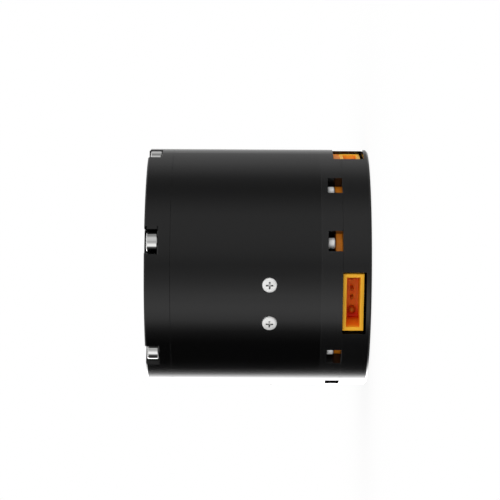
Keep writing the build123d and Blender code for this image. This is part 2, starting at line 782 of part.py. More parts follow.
def driver_board():
    """Round circuit board with scallops for the cover's bosses and a tongue at the upper socket."""
    tongue = block(0, socket_mouth, socket_width, cover_top, board_top)
    board = rod(board_radius, cover_top, board_top) + at(tongue, upper_socket_angle)
    scallop = rod(cover_boss_diameter / 2 + running_gap, cover_top - 1, board_top + 1)
    open_side = block(0, rim_thickness + cover_boss_inset, cover_boss_diameter + 2 * running_gap,
                      cover_top - 1, board_top + 1)
    screw_hole = rod(pan_screw_diameter / 2 + insert_gap, cover_top - 1, board_top + 1)
    lead_hole = rod(lead_diameter / 2 + seat_gap, cover_top - 1, board_top + 1)
    return (board - around(Pos(cover_screw_radius, 0, 0) * (scallop + open_side), cover_screw_angles)
            - around(Pos(board_screw_radius, 0, 0) * screw_hole, board_screw_angles)
            - around(Pos(lead_radius, 0, 0) * lead_hole, lead_angles)
            - [leg_hole for angle in (lower_socket_angle, upper_socket_angle)
               for leg_hole in leg_holes(angle)])


def leg_holes(angle):
    """Holes in the board for the legs of one socket's pins."""
    holes = []
    for diameter, spacing in ((power_pin_diameter, power_pin_spacing),
                              (signal_pin_diameter, signal_pin_spacing)):
        hole = rod(diameter / 2 + seat_gap, cover_top - 1, board_top + 1)
        holes += [at(Pos(leg_place, side * spacing / 2, 0) * hole, angle) for side in (-1, 1)]
    return holes


def board_screws():
    """Screws that hold the board to the end plate's bosses."""
    screw = pan_screw(pan_screw_diameter, pan_head_diameter, board_screw_head_height,
                      board_thickness + board_screw_bite - 0.2)
    place = Pos(board_screw_radius, 0, cover_top) * Rot(180, 0, 0)
    return around(place * screw, board_screw_angles)


def socket_housing(angle):
    """Plug socket: a rectangular shell with a plain recess and passages for its pins."""
    shell = block(socket_back, socket_mouth, socket_width, socket_bottom, cover_top)
    recess = block(socket_mouth - recess_depth, socket_mouth + 1, socket_width - 2 * socket_wall,
                   socket_bottom + socket_wall, cover_top - socket_wall)
    passages = []
    for diameter, spacing in ((power_pin_diameter, power_pin_spacing),
                              (signal_pin_diameter, signal_pin_spacing)):
        passage = spoke(diameter / 2 + seat_gap, socket_back - 1, socket_mouth, socket_middle)
        passages += [Pos(0, side * spacing / 2, 0) * passage for side in (-1, 1)]
    return at(shell - recess - passages, angle)


def socket_pins(diameter, spacing):
    """A pair of bent pins in each socket, from its recess back and down into the board."""
    radius = diameter / 2
    tip = socket_mouth - pin_reach - radius
    ball = Pos(0, 0, socket_middle) * Sphere(radius)
    reach = spoke(radius, leg_place, tip, socket_middle)
    leg = Pos(leg_place, 0, 0) * rod(radius, socket_middle, board_top)
    pin = reach + Pos(tip, 0, 0) * ball + Pos(leg_place, 0, 0) * ball + leg
    return [at(Pos(0, side * spacing / 2, 0) * pin, angle)
            for angle in (lower_socket_angle, upper_socket_angle) for side in (-1, 1)]


def chip(length, width, low, height):
    """A flat chip package over the middle of the board."""
    return Pos(0, 0, low + height / 2) * Box(length, width, height)


def bulk_capacitors():
    """Round cans on the rear of the board."""
    can = Pos(can_circle / 2, 0, 0) * rod(can_diameter / 2, cover_top - can_height, cover_top)
    return around(can, can_angles)


os.makedirs("parts", exist_ok=True)

save("front_ring", front_ring())
save("front_cap_screws", *front_cap_screws())
save("main_housing", main_housing())
save("stator_screws", *stator_screws())
save("motor_end_plate", motor_end_plate())
save("end_plate_screws", *end_plate_screws())
save("rear_cover", rear_cover())
save("rear_cover_screws", *rear_cover_screws())

save("stator_core", stator_core())
save("stator_coils", *stator_coils())
save("phase_leads", *phase_leads())
save("rotor_shaft", rotor_shaft())
save("rotor_core", rotor_core())
save("rotor_magnets", *rotor_magnets())
save("encoder_magnet", encoder_magnet())

save("ring_gear", ring_gear())
save("ring_gear_dowels", *ring_gear_dowels())
save("sun_gear", sun_gear())
for number, angle in enumerate(planet_angles, 1):
    save(f"planet_gear_{number}", planet_gear(angle))
    save(f"planet_bush_{number}", planet_bush(angle))
save("planet_pins", *planet_pins())
save("output_flange", output_flange())
save("carrier_plate", carrier_plate())
save("carrier_screws", *carrier_screws())

bearings = {
    "output_bearing": (output_bearing_bore, output_bearing_outside, output_bearing_width,
                       housing_top),
    "carrier_bearing": (carrier_bearing_bore, carrier_bearing_outside, carrier_bearing_width,
                        carrier_bearing_bottom),
    "rotor_front_bearing": (rotor_bearing_bore, front_rotor_bearing_outside,
                            front_rotor_bearing_width, front_bearing_bottom),
    "rotor_rear_bearing": (rotor_bearing_bore, rear_rotor_bearing_outside,
                           rear_rotor_bearing_width, rear_bearing_bottom),
}
for name, (bore, outside, width, low) in bearings.items():
    outer_race, inner_race = bearing_races(bore, outside, width, low)
    save(f"{name}_outer", outer_race)
    save(f"{name}_inner", inner_race)

save("driver_board", driver_board())
save("board_screws", *board_screws())
save("encoder_chip", chip(encoder_chip_size, encoder_chip_size, board_top, chip_height))
save("controller_chip", chip(controller_chip_size, controller_chip_size, cover_top - chip_height,
                             chip_height))
transistor = Pos(transistor_circle / 2, 0, 0) * chip(transistor_length, transistor_width, board_top,
                                                     chip_height)
save("power_transistors", *around(transistor, [360 * k / transistor_count
                                               for k in range(transistor_count)]))
ceramic = Pos(ceramic_circle / 2, 0, 0) * chip(ceramic_width, ceramic_length, cover_top
                                               - ceramic_width, ceramic_width)
save("ceramic_capacitors", *around(ceramic, ceramic_angles))
save("bulk_capacitors", *bulk_capacitors())
save("socket_housing_lower", socket_housing(lower_socket_angle))
save("socket_housing_upper", socket_housing(upper_socket_angle))
save("socket_power_pins", *socket_pins(power_pin_diameter, power_pin_spacing))
save("socket_signal_pins", *socket_pins(signal_pin_diameter, signal_pin_spacing))
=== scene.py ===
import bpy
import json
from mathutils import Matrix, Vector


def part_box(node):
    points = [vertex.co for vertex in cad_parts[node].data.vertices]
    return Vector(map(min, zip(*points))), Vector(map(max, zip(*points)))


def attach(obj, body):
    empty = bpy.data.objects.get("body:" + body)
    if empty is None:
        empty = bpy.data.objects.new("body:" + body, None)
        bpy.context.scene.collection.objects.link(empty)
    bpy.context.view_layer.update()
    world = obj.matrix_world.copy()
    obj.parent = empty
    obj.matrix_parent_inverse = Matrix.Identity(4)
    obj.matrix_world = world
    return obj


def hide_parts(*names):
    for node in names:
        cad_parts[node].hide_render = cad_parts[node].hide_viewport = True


bl_info = {
    "name": "Robot Joint Actuator",
    "version": (1, 0, 0),
    "blender": (4, 5, 0),
    "location": "3D View > Sidebar > Actuator",
    "description": "Dresses a geared joint motor with its screws, sockets, output disc and finishes",
    "category": "Object",
}

import bpy
import json
from math import cos, pi, radians, sin
from mathutils import Matrix, Vector

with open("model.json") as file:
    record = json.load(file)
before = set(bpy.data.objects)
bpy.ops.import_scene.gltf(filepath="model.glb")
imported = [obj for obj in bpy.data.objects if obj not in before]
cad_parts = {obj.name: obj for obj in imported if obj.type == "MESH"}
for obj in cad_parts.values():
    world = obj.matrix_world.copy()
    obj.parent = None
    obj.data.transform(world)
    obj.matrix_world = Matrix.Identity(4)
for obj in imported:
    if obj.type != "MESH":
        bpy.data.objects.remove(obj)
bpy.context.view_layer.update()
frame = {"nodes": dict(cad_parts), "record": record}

# Pieces are modelled in millimetres, and settle() brings each finished one to metres
MM = 0.001


# Sizes read from the frame, in millimetres

def top_of(node):
    """Highest point of a CAD node along the turning axis."""
    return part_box(node)[1].z / MM


def bottom_of(node):
    """Lowest point of a CAD node along the turning axis."""
    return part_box(node)[0].z / MM


def reach_of(node):
    """Farthest point of a CAD node from the turning axis, for a node that reaches it on -X."""
    return -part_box(node)[0].x / MM


BODY_RADIUS = reach_of("main_housing")
BODY_LENGTH = top_of("front_ring")

# Directions round the body are in degrees from the lower socket, anticlockwise seen from the output
CAP_SCREW_ANGLES = [30, 90, 150, 210, 270, 330]
SIDE_SCREW_ANGLES = [-9.3, 9.3, 170.7, 189.3, 260.7, 279.3]
WINDOW_SCREW_ANGLES = [30, 60, 150, 180, 210, 270, 300, 330]
REAR_SCREW_ANGLES = [45, 135, 225, 315]
FACE_HOLE_ANGLES = [0, 60, 120, 180, 240, 300]
DOWEL_HOLE_ANGLES = [30, 210]
SOCKET_ANGLES = {"lower": 0.0, "upper": 97.5}


# Settings that a user would change

def length_setting(name, description, millimetres):
    """A size in a property group, kept in metres."""
    return bpy.props.FloatProperty(name=name, description=description, default=millimetres * MM,
                                   subtype="DISTANCE", precision=5)


def colour_setting(name, description, colour):
    """A colour in a property group."""
    return bpy.props.FloatVectorProperty(name=name, description=description, default=colour, size=3,
                                         min=0, max=1, subtype="COLOR")


class ActuatorScrews(bpy.types.PropertyGroup):
    """Sizes of the screws"""
    cap_head: length_setting("Cap head", "Width of the heads in the front notches", 4.5)
    cap_height: length_setting("Cap height", "Height of the heads in the front notches", 2.5)
    cap_shank: length_setting("Cap shank", "Width of the front screws' shanks", 2.5)
    cap_key: length_setting("Cap key", "Key size of the front screws", 2.0)
    pan_head: length_setting("Side head", "Width of the domed heads on the side", 3.4)
    pan_height: length_setting("Side height", "Height of the domed heads on the side", 0.9)
    pan_shank: length_setting("Side shank", "Width of the side screws' shanks", 2.0)
    pan_sunk: length_setting("Side seat", "Depth of the spot faces under the side screws", 0.1)
    small_head: length_setting("Window head", "Width of the heads in the windows", 2.6)
    small_height: length_setting("Window height", "Height of the heads in the windows", 1.6)
    small_key: length_setting("Window key", "Key size of the window screws", 1.3)
    flat_head: length_setting("Rear head", "Width of the flat heads in the rear cover", 3.8)
    flat_key: length_setting("Rear key", "Key size of the rear screws", 1.3)


class ActuatorSockets(bpy.types.PropertyGroup):
    """Sizes of the plug sockets and their contacts"""
    wall: length_setting("Wall", "Thickness of the sockets' walls", 0.9)
    recess: length_setting("Recess", "Depth of the sockets' recesses", 8.0)
    rounding: length_setting("Rounding", "Rounding of the moulded edges", 0.14)
    power_pin: length_setting("Power contact", "Width of the power contacts", 1.8)
    power_spacing: length_setting("Power spacing", "Between the power contacts", 8.4)
    signal_pin: length_setting("Signal contact", "Width of the signal contacts", 0.8)
    signal_spacing: length_setting("Signal spacing", "Between the signal contacts", 2.2)


class ActuatorOutput(bpy.types.PropertyGroup):
    """Sizes of the output disc's holes and threads"""
    tapped_hole: length_setting("Tapped hole", "Tap drill of the mounting holes", 2.5)
    thread: length_setting("Thread", "Outer width of the mounting holes' threads", 3.0)
    pitch: length_setting("Pitch", "Pitch of the mounting holes' threads", 0.5)
    hole_depth: length_setting("Hole depth", "Depth of the mounting holes", 5.0)
    hole_circle: length_setting("Output circle", "Circle of the output's holes", 30.0)
    frame_circle: length_setting("Frame circle", "Circle of the front ring's holes", 50.0)
    dowel_hole: length_setting("Dowel hole", "Width of the dowel holes", 3.0)
    dowel_depth: length_setting("Dowel depth", "Depth of the dowel holes", 3.0)
    pilot: length_setting("Pilot", "Width of the centring recess", 12.0)
    pilot_depth: length_setting("Pilot depth", "Depth of the centring recess", 2.5)


class ActuatorColours(bpy.types.PropertyGroup):
    """Colours of the finishes, of the painted highlight on the shells' edges and of the painted
    shade in the sockets' recesses
    """
    shell: colour_setting("Shell", "Black anodised shell", (0.0010, 0.0010, 0.0011))
    rear_shell: colour_setting("Rear shell", "Black anodised end plate and cover",
                               (0.0045, 0.0045, 0.0047))
    # Lighter edges of the shells: partly worn anodising, partly a painted highlight
    rubbed_and_highlit: colour_setting("Rubbed, highlit edge", "Thinner anodising and painted highlight along the edges", (0.11, 0.11, 0.112))
    steel: colour_setting("Steel", "Bright screws", (0.95, 0.95, 0.94))
    socket: colour_setting("Socket", "Plug socket plastic", (1.0, 0.50, 0.03))
    # Painted shade: the dark red that the sockets' recesses are painted where little light reaches
    socket_deep: colour_setting("Socket recess shade", "Plug socket plastic inside the recess",
                                (1.0, 0.04, 0.0005))
    board: colour_setting("Board", "Circuit board", (0.9, 0.26, 0.01))


class ActuatorStudio(bpy.types.PropertyGroup):
    """Place of the camera"""
    view_angle: bpy.props.FloatProperty(
        name="View angle", description="Side that faces the camera, from the lower socket",
        default=radians(18), subtype="ANGLE")
    distance: bpy.props.FloatProperty(
        name="Distance", description="From the turning axis to the camera",
        default=0.475, subtype="DISTANCE")
    lens: bpy.props.FloatProperty(
        name="Lens", description="Focal length in millimetres", default=140.0, unit="CAMERA")
    roll: bpy.props.FloatProperty(
        name="Roll", description="Tilt of the camera round its own view", default=radians(0.3),
        subtype="ANGLE")
    shift_right: bpy.props.FloatProperty(
        name="Shift right", description="How far the object stands right of the picture's middle",
        default=7.8, subtype="PIXEL")
    shift_down: bpy.props.FloatProperty(
        name="Shift down", description="How far the object stands below the picture's middle",
        default=16.3, subtype="PIXEL")


# Modelling helpers

def pick(*pieces):
    """Select these pieces alone, with the first one active."""
    if bpy.context.object and bpy.context.object.mode == "EDIT":
        bpy.ops.object.mode_set(mode="OBJECT")
    bpy.ops.object.select_all(action="DESELECT")
    for piece in pieces:
        piece.select_set(True)
    bpy.context.view_layer.objects.active = pieces[0]


def open_for(piece, part, wanted):
    """Open a piece in edit mode with only the wanted vertices, edges or polygons selected."""
    pick(piece)
    kinds = ["vertices", "edges", "polygons"]
    bpy.context.tool_settings.mesh_select_mode = [kind == part for kind in kinds]
    for kind in kinds:
        for item in getattr(piece.data, kind):
            item.select = kind == part and wanted(item)
    bpy.ops.object.mode_set(mode="EDIT")


def close_up():
    """Turn every face outwards and leave edit mode."""
    bpy.ops.mesh.select_all(action="SELECT")
    bpy.ops.mesh.normals_make_consistent(inside=False)
    bpy.ops.object.mode_set(mode="OBJECT")


def turned(outline, steps=96):
    """A solid turned from (radius, level) points: a disc that is extruded from ring to ring."""
    radius, level = outline[0]
    bpy.ops.object.select_all(action="DESELECT")
    bpy.ops.mesh.primitive_circle_add(vertices=steps, radius=radius, fill_type="NGON",
                                      location=(0, 0, level))
    piece = bpy.context.object
    bpy.ops.object.transform_apply()
    open_for(piece, "polygons", lambda face: True)
    for next_radius, next_level in outline[1:]:
        rise = (0, 0, next_level - level)
        bpy.ops.mesh.extrude_region_move(TRANSFORM_OT_translate={"value": rise})
        growth = next_radius / radius
        bpy.ops.transform.resize(value=(growth, growth, 1), center_override=(0, 0, 0))
        radius, level = next_radius, next_level
    close_up()
    return piece


def prism(corners, radius, low, high):
    """A bar with this many corners between two levels, used as a cutter."""
    bpy.ops.object.select_all(action="DESELECT")
    bpy.ops.mesh.primitive_cylinder_add(vertices=corners, radius=radius, depth=high - low,
                                        location=(0, 0, (low + high) / 2))
    return bpy.context.object


def carve(piece, cutter):
    """Cut one shape out of a piece."""
    modifier = piece.modifiers.new("cut", "BOOLEAN")
    modifier.operation = "DIFFERENCE"
    modifier.solver = "EXACT"
    modifier.object = cutter
    pick(piece)
    bpy.ops.object.modifier_apply(modifier=modifier.name)
    bpy.data.objects.remove(cutter)


def eased(piece, width):
    """Round the sharp edges of a piece."""
    modifier = piece.modifiers.new("ease", "BEVEL")
    modifier.width = width
    modifier.segments = 3
    modifier.limit_method = "ANGLE"
    modifier.angle_limit = radians(50)
    pick(piece)
    bpy.ops.object.modifier_apply(modifier=modifier.name)


def copied_around(piece, angles, stance, own_step=37.0):
    """Copies of a piece round the body, each turned further on its own axis, joined in one mesh."""
    copies = []
    for number, angle in enumerate(angles):
        pick(piece)
        bpy.ops.object.duplicate()
        copy = bpy.context.object
        own_turn = Matrix.Rotation(radians(own_step * number), 4, "Z")
        copy.matrix_world = Matrix.Rotation(radians(angle - 90), 4, "Z") @ stance @ own_turn
        copies.append(copy)
    bpy.data.objects.remove(piece)
    pick(*copies)
    bpy.ops.object.transform_apply()
    bpy.ops.object.join()
    return bpy.context.object


def settle(piece, name, slot, body, *nodes, smooth=35, material=None):
    """Bring a finished piece to metres, give it its finish and put it on its body."""
    pick(piece)
    piece.scale = (MM, MM, MM)
    bpy.ops.object.transform_apply()
    bpy.ops.object.shade_smooth_by_angle(angle=radians(smooth))
    piece.name = name
    piece.data.name = name
    piece.data.materials.clear()
    piece.data.materials.append(bpy.data.materials[material or slot])
    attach(piece, body)
    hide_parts(*nodes)


# Shader helpers

def feed(tree, value, socket):
    """Join a socket to another, or set its own value."""
    if isinstance(value, bpy.types.NodeSocket):
        tree.links.new(value, socket)
    else:
        socket.default_value = value


def maths(tree, operation, *values, clamp=False):
    """A Math node."""
    node = tree.nodes.new("ShaderNodeMath")
    node.operation = operation
    node.use_clamp = clamp
    for value, socket in zip(values, node.inputs):
        feed(tree, value, socket)
    return node.outputs[0]


def map_range(tree, value, low, high, new_low=0.0, new_high=1.0, smooth=False):
    """A Map Range node."""
    node = tree.nodes.new("ShaderNodeMapRange")
    if smooth:
        node.interpolation_type = "SMOOTHSTEP"
    labels = ("Value", "From Min", "From Max", "To Min", "To Max")
    for label, given in zip(labels, (value, low, high, new_low, new_high)):
        feed(tree, given, node.inputs[label])
    return node.outputs[0]


def mix(tree, share, first, second):
    """A Mix node between two numbers."""
    node = tree.nodes.new("ShaderNodeMix")
    feed(tree, share, node.inputs[0])
    feed(tree, first, node.inputs[2])
    feed(tree, second, node.inputs[3])
    return node.outputs[0]


def mix_colour(tree, share, first, second, blend="MIX"):
    """A Mix node between two colours."""
    node = tree.nodes.new("ShaderNodeMix")
    node.data_type = "RGBA"
    node.blend_type = blend
    feed(tree, share, node.inputs[0])
    feed(tree, first, node.inputs[6])
    feed(tree, second, node.inputs[7])
    return node.outputs[2]


def noise(tree, scale, detail=2.0, roughness=0.5, along=None):
    """Noise over the object's own space, or along one number."""
    node = tree.nodes.new("ShaderNodeTexNoise")
    feed(tree, scale, node.inputs["Scale"])
    node.inputs["Detail"].default_value = detail
    node.inputs["Roughness"].default_value = roughness
    if along is None:
        tree.links.new(tree.nodes.new("ShaderNodeTexCoord").outputs["Object"], node.inputs["Vector"])
    else:
        node.noise_dimensions = "1D"
        tree.links.new(along, node.inputs["W"])
    return node.outputs[0]


def object_axes(tree):
    """The object's own X, Y and Z as numbers."""
    split = tree.nodes.new("ShaderNodeSeparateXYZ")
    tree.links.new(tree.nodes.new("ShaderNodeTexCoord").outputs["Object"], split.inputs[0])
    return split.outputs


def new_group(name, inputs, outputs):
    """A shader node group with named numbers going in and coming out."""
    tree = bpy.data.node_groups.new(name, "ShaderNodeTree")
    for label, default in inputs.items():
        socket = tree.interface.new_socket(name=label, in_out="INPUT", socket_type="NodeSocketFloat")
        socket.default_value = default
    for label in outputs:
        tree.interface.new_socket(name=label, in_out="OUTPUT", socket_type="NodeSocketFloat")
    given = tree.nodes.new("NodeGroupInput").outputs
    result = tree.nodes.new("NodeGroupOutput").inputs
    return tree, given, result


def use_group(tree, name, **values):
    """Place a node group in a material with its own values."""
    node = tree.nodes.new("ShaderNodeGroup")
    node.node_tree = bpy.data.node_groups[name]
    for label, value in values.items():
        node.inputs[label].default_value = value
    return node.outputs


# Node groups shared by the finishes

def make_grain():
    """Fine even grain, as of blasted metal or a moulding tool."""
    tree, given, result = new_group("Grain", {"Scale": 3000.0, "Contrast": 0.1}, ["Height", "Shade"])
    fine = noise(tree, given["Scale"], 3.0, 0.6)
    swing = maths(tree, "MULTIPLY", maths(tree, "SUBTRACT", fine, 0.5), given["Contrast"])
    tree.links.new(fine, result["Height"])
    tree.links.new(maths(tree, "MULTIPLY_ADD", swing, 2.0, 1.0), result["Shade"])


def make_turning_marks():
    """Lathe marks: round the walls, and in rings on the flat faces."""
    tree, given, result = new_group("Turning marks", {"Pitch": 0.0002, "Contrast": 0.1},
                                    ["Height", "Shade"])
    x, y, z = object_axes(tree)
    squares = maths(tree, "ADD", maths(tree, "MULTIPLY", x, x), maths(tree, "MULTIPLY", y, y))
    radius = maths(tree, "SQRT", squares)
    split = tree.nodes.new("ShaderNodeSeparateXYZ")
    tree.links.new(tree.nodes.new("ShaderNodeNewGeometry").outputs["Normal"], split.inputs[0])
    flat = maths(tree, "GREATER_THAN", maths(tree, "ABSOLUTE", split.outputs["Z"]), 0.7)
    across = maths(tree, "DIVIDE", mix(tree, flat, z, radius), given["Pitch"])
    marks = noise(tree, 1.0, 4.0, 0.7, along=across)
    swing = maths(tree, "MULTIPLY", maths(tree, "SUBTRACT", marks, 0.5), given["Contrast"])
    tree.links.new(marks, result["Height"])
    tree.links.new(maths(tree, "MULTIPLY_ADD", swing, 2.0, 1.0), result["Shade"])


def make_rub_highlight_mask():
    """Mask along the edges, broken up by noise, for wear that is also a painted highlight on the
    edges.
    """
    tree, given, result = new_group("Edge wear", {"Radius": 0.0002, "Breakup": 900.0, "Amount": 1.0},
                                    ["Mask"])
    rounded = tree.nodes.new("ShaderNodeBevel")
    rounded.samples = 4
    tree.links.new(given["Radius"], rounded.inputs["Radius"])
    compare = tree.nodes.new("ShaderNodeVectorMath")
    compare.operation = "DOT_PRODUCT"
    tree.links.new(rounded.outputs[0], compare.inputs[0])
    tree.links.new(tree.nodes.new("ShaderNodeNewGeometry").outputs["Normal"], compare.inputs[1])
    turned_away = maths(tree, "SUBTRACT", 1.0, compare.outputs["Value"], clamp=True)
    edge = map_range(tree, turned_away, 0.01, 0.18, smooth=True)
    broken = map_range(tree, noise(tree, given["Breakup"], 3.0), 0.3, 0.7, 0.35, 1.0)
    strength = maths(tree, "MULTIPLY", edge, broken)
    tree.links.new(maths(tree, "MULTIPLY", strength, given["Amount"], clamp=True), result["Mask"])


def make_shade_in_crevices():
    """Mask for painted shade in the corners and recesses that little light reaches."""
    tree, given, result = new_group("Crevices", {"Reach": 0.0005, "Open": 0.8, "Shut": 0.3},
                                    ["Mask"])
    open_sky = tree.nodes.new("ShaderNodeAmbientOcclusion")
    open_sky.samples = 8
    open_sky.only_local = True
    tree.links.new(given["Reach"], open_sky.inputs["Distance"])
    mask = map_range(tree, open_sky.outputs["AO"], given["Shut"], given["Open"], 1.0, 0.0,
                     smooth=True)
    tree.links.new(mask, result["Mask"])


def make_handling():
    """Roughness that changes gently over a surface, with a finer ripple in it."""
    tree, given, result = new_group("Handling", {"Scale": 70.0, "Low": 0.3, "High": 0.4},
                                    ["Roughness"])
    broad = noise(tree, given["Scale"])
    fine = noise(tree, maths(tree, "MULTIPLY", given["Scale"], 24.0))
    both = maths(tree, "MULTIPLY_ADD", fine, 0.3, maths(tree, "MULTIPLY", broad, 0.7))
    tree.links.new(map_range(tree, both, 0.3, 0.7, given["Low"], given["High"]), result["Roughness"])


def make_layers():
    """Even layers along the turning axis, with a narrow groove between them."""
    tree, given, result = new_group("Layers", {"Pitch": 0.00035, "Groove": 0.2}, ["Mask"])
    count = maths(tree, "DIVIDE", object_axes(tree)[2], given["Pitch"])
    part = maths(tree, "FRACT", count)
    tree.links.new(maths(tree, "GREATER_THAN", part, given["Groove"]), result["Mask"])


# Finishes

def finish(slot, colour, roughness, metallic=0.0, *, grain, specular=0.5, marks=None, wear=None,
           crevices=None, layers=None, coat=0.0, rounded=0.0):
    """A material, named for its slot.

    Roughness is (low, high). Grain is (scale, contrast, depth), and marks and layers are (pitch,
    contrast, depth), with pitches in millimetres and depths in micrometres. Rub and highlight is
    (colour, width of the edge, amount): edges lighter from wear and from a painted highlight.
    Crevice
    shade is (colour, reach, light where shut, light where open): painted shade in corners and
    recesses.
    """
    material = bpy.data.materials.new(slot)
    material.use_nodes = True
    tree = material.node_tree
    shader = tree.nodes["Principled BSDF"]
    shader.inputs["Metallic"].default_value = metallic
    shader.inputs["Specular IOR Level"].default_value = specular
    shader.inputs["Coat Weight"].default_value = coat
    shader.inputs["Coat Roughness"].default_value = 0.12
    micrometre = 0.001 * MM

    scale, contrast, depth = grain
    grains = use_group(tree, "Grain", Scale=scale, Contrast=contrast)
    shade = grains["Shade"]
    height = maths(tree, "MULTIPLY", grains["Height"], depth * micrometre)
    if marks:
        pitch, contrast, depth = marks
        lathe = use_group(tree, "Turning marks", Pitch=pitch * MM, Contrast=contrast)
        shade = maths(tree, "MULTIPLY", shade, lathe["Shade"])
        height = maths(tree, "MULTIPLY_ADD", lathe["Height"], depth * micrometre, height)
    if layers:
        pitch, contrast, depth = layers
        stack = use_group(tree, "Layers", Pitch=pitch * MM)["Mask"]
        shade = maths(tree, "MULTIPLY", shade, map_range(tree, stack, 0, 1, 1 - contrast, 1))
        height = maths(tree, "MULTIPLY_ADD", stack, depth * micrometre, height)

    base = mix_colour(tree, 1.0, (*colour, 1), shade, "MULTIPLY")
    # Edges lightened: partly wear, partly a painted highlight along them
    if wear:
        rub_highlight_colour, radius, amount = wear
        edge = use_group(tree, "Edge wear", Radius=radius * MM, Amount=amount)["Mask"]
        base = mix_colour(tree, edge, base, (*rub_highlight_colour, 1))
    # Painted shade: a darker colour in corners and recesses where little light reaches
    if crevices:
        shade_colour, reach, shut, fully_open = crevices
        painted_shade = use_group(tree, "Crevices", Reach=reach * MM, Shut=shut, Open=fully_open)["Mask"]
        base = mix_colour(tree, painted_shade, base, (*shade_colour, 1))
    tree.links.new(base, shader.inputs["Base Color"])

    low, high = roughness
    handled = use_group(tree, "Handling", Low=low, High=high)["Roughness"]
    tree.links.new(handled, shader.inputs["Roughness"])
    bump = tree.nodes.new("ShaderNodeBump")
    bump.inputs["Distance"].default_value = 1.0
    tree.links.new(height, bump.inputs["Height"])
    if rounded:
        soft_edge = tree.nodes.new("ShaderNodeBevel")
        soft_edge.samples = 6
        soft_edge.inputs["Radius"].default_value = rounded * MM
        tree.links.new(soft_edge.outputs[0], bump.inputs["Normal"])
    tree.links.new(bump.outputs[0], shader.inputs["Normal"])


def shell_finishes(colours):
    """Black anodised aluminium of the shells and the output disc."""
    # Lighter edges on the shells: worn anodising plus a painted highlight
    wear = (colours.rubbed_and_highlit, 0.14, 0.22)
    finish("anodised_front", colours.shell, (0.14, 0.17), grain=(2600, 0.10, 0.5),
           marks=(0.11, 0.05, 0.25), wear=wear)
    finish("anodised_rear", colours.rear_shell, (0.15, 0.18), grain=(2600, 0.10, 0.6),
           marks=(0.13, 0.06, 0.3), wear=wear)
    finish("anodised_output", colours.shell, (0.20, 0.26), grain=(2600, 0.10, 0.5),
           marks=(0.16, 0.16, 4.0), wear=wear)


def metal_finishes(colours):
    """Screws, gears, bearings, shafts and other bare metal."""
    bright_edge = ((0.95, 0.95, 0.94), 0.08, 0.5)
    # The screws' key sockets and cross recesses get painted shade
    finish("bright_steel", colours.steel, (0.03, 0.07), 1.0, grain=(5000, 0.06, 0.3),
           crevices=((0.06, 0.06, 0.06), 1.2, 0.25, 0.65))
    finish("satin_steel", colours.steel, (0.36, 0.46), 0.4, grain=(5000, 0.10, 1.0),
           crevices=((0.08, 0.08, 0.08), 0.5, 0.25, 0.7))
    finish("hardened_steel", (0.33, 0.325, 0.32), (0.3, 0.42), 1.0, grain=(4000, 0.14, 1.0),
           marks=(0.2, 0.1, 0.5), wear=bright_edge)
    finish("bearing_steel", (0.62, 0.62, 0.63), (0.1, 0.16), 1.0, grain=(6000, 0.04, 0.2),
           marks=(0.06, 0.06, 0.2))
    finish("shaft_steel", (0.52, 0.52, 0.53), (0.18, 0.28), 1.0, grain=(5000, 0.06, 0.4),
           marks=(0.07, 0.1, 0.4))
    finish("bronze", (0.6, 0.34, 0.12), (0.3, 0.4), 1.0, grain=(4500, 0.16, 1.2))
    finish("nickel", (0.6, 0.57, 0.52), (0.2, 0.3), 1.0, grain=(5000, 0.08, 0.6))
    finish("can_aluminium", (0.72, 0.72, 0.73), (0.26, 0.36), 1.0, grain=(4000, 0.06, 0.6),
           marks=(0.15, 0.06, 0.4))
    # The contacts are a darkened gold: painted shade, so they sink into the sockets' shaded recesses
    finish("gold_contact", (0.62, 0.27, 0.05), (0.42, 0.5), 1.0, grain=(6000, 0.06, 0.4))


def motor_finishes():
    """Laminations and windings."""
    finish("lamination", (0.16, 0.16, 0.17), (0.4, 0.55), 1.0, grain=(3000, 0.2, 1.5),
           layers=(0.35, 0.5, 20.0))
    finish("enamelled_copper", (0.52, 0.17, 0.05), (0.2, 0.32), 1.0, grain=(2500, 0.12, 1.0),
           layers=(0.55, 0.7, 60.0), coat=0.6)


def electronics_finishes(colours):
    """Board, chips and plug sockets."""
    finish("board_laminate", colours.board, (0.4, 0.55), specular=0.25, grain=(1800, 0.2, 2.0),
           layers=(0.27, 0.12, 4.0), rounded=0.5)
    # The sockets' recesses get a painted dark red shade
    finish("socket_plastic", colours.socket, (0.34, 0.44), specular=0.2, grain=(2200, 0.03, 1.0),
           crevices=(colours.socket_deep, 3.0, 0.45, 0.85))
    finish("chip_resin", (0.02, 0.02, 0.021), (0.45, 0.6), grain=(5000, 0.25, 2.0))
    finish("ceramic", (0.34, 0.2, 0.1), (0.4, 0.55), grain=(3500, 0.15, 1.5))


class ACTUATOR_OT_finishes(bpy.types.Operator):
    """Make the finishes and give every CAD node its own"""
    bl_idname = "actuator.finishes"
    bl_label = "Finishes"

    def execute(self, context):
        colours = context.scene.actuator_colours
        for imported in list(bpy.data.materials):
            bpy.data.materials.remove(imported)
        for make in (make_grain, make_turning_marks, make_rub_highlight_mask, make_shade_in_crevices, make_handling,
                     make_layers):
            make()
        shell_finishes(colours)
        metal_finishes(colours)
        motor_finishes()
        electronics_finishes(colours)
        for row in frame["record"]["subparts"]:
            for place in frame["nodes"][row["node"]].material_slots:
                place.material = bpy.data.materials[row["material_slot"]]
        return {"FINISHED"}


# Screws, modelled standing on their seat with the head upwards

def rounded_rim(radius, height, rounding, steps=5):
    """Points of a quarter round between a head's side and its top."""
    turns = [radians(90 * step / steps) for step in range(steps + 1)]
    return [(radius - rounding + rounding * cos(turn), height - rounding + rounding * sin(turn))
            for turn in turns]


def shank_points(width, length):
    """Points of a shank with a chamfered end, up to the seat."""
    return [(width * 0.32, -length), (width / 2, -length + width * 0.18), (width / 2, 0)]


